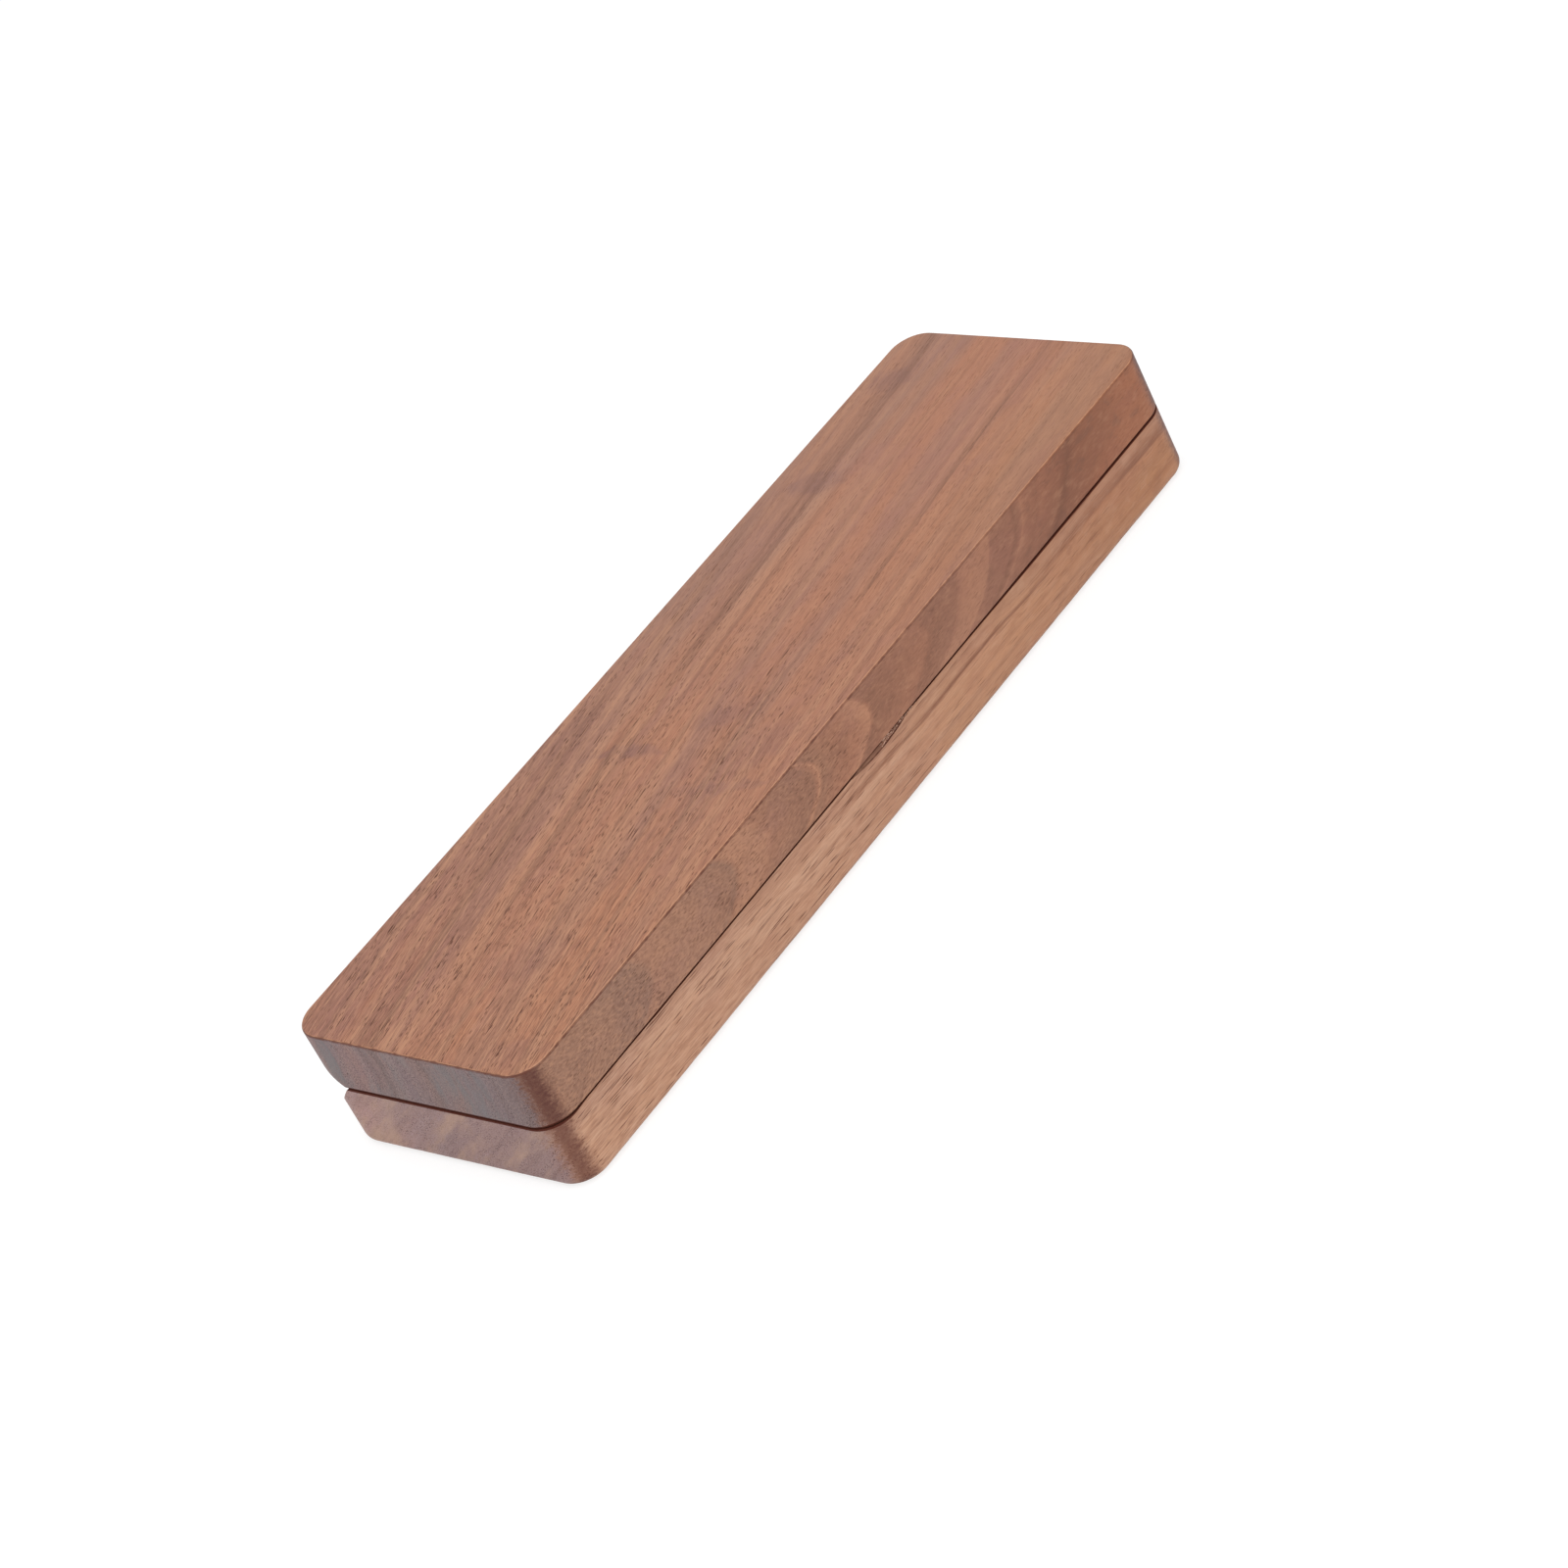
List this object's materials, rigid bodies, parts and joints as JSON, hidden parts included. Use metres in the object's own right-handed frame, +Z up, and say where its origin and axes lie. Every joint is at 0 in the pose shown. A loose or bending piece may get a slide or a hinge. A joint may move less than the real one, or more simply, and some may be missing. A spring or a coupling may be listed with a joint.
{
  "type": "wooden pen box",
  "caption": "Slim hinged pen box milled from solid walnut: a base with round-bottomed pen troughs and a recessed lid on concealed brass barrel hinges, held shut by magnets.",
  "frame": {"origin": "centre of the base's footprint, on the table", "axes": "+X along the box's length, -Y towards the front edge that opens, +Y towards the hinges, +Z up"},
  "size_m": [0.185, 0.055, 0.025],
  "materials": {
    "base_walnut": "satin oiled walnut, straight grain, lighter block",
    "lid_walnut": "satin oiled walnut, straight grain, darker block",
    "hinge_brass": "turned, satin",
    "link_brass": "stamped, slightly tarnished",
    "pin_steel": "ground",
    "magnet_nickel": "bright nickel plating"
  },
  "bodies": {
    "base": {"base_shell": "base_walnut", "left_base_barrel": "hinge_brass", "right_base_barrel": "hinge_brass", "left_base_pin": "pin_steel", "right_base_pin": "pin_steel", "left_base_magnet": "magnet_nickel", "right_base_magnet": "magnet_nickel"},
    "links": {"left_link_outer": "link_brass", "left_link_middle": "link_brass", "left_link_inner": "link_brass", "right_link_outer": "link_brass", "right_link_middle": "link_brass", "right_link_inner": "link_brass"},
    "lid": {"lid_shell": "lid_walnut", "left_lid_barrel": "hinge_brass", "right_lid_barrel": "hinge_brass", "left_lid_pin": "pin_steel", "right_lid_pin": "pin_steel", "left_lid_magnet": "magnet_nickel", "right_lid_magnet": "magnet_nickel"}
  },
  "joints": [
    {"name": "base_pivot", "type": "hinge", "parent": "base", "child": "links", "pos_m": [0, 0.01999, 0.01105], "axis": [-1, 0, 0], "range_deg": [0, 45]},
    {"name": "lid_pivot", "type": "hinge", "parent": "links", "child": "lid", "pos_m": [0, 0.01999, 0.01545], "axis": [-1, 0, 0], "range_deg": [0, 45]}
  ],
  "couplings": [
    {"joint": "lid_pivot", "follows": "base_pivot", "ratio": 1}
  ]
}
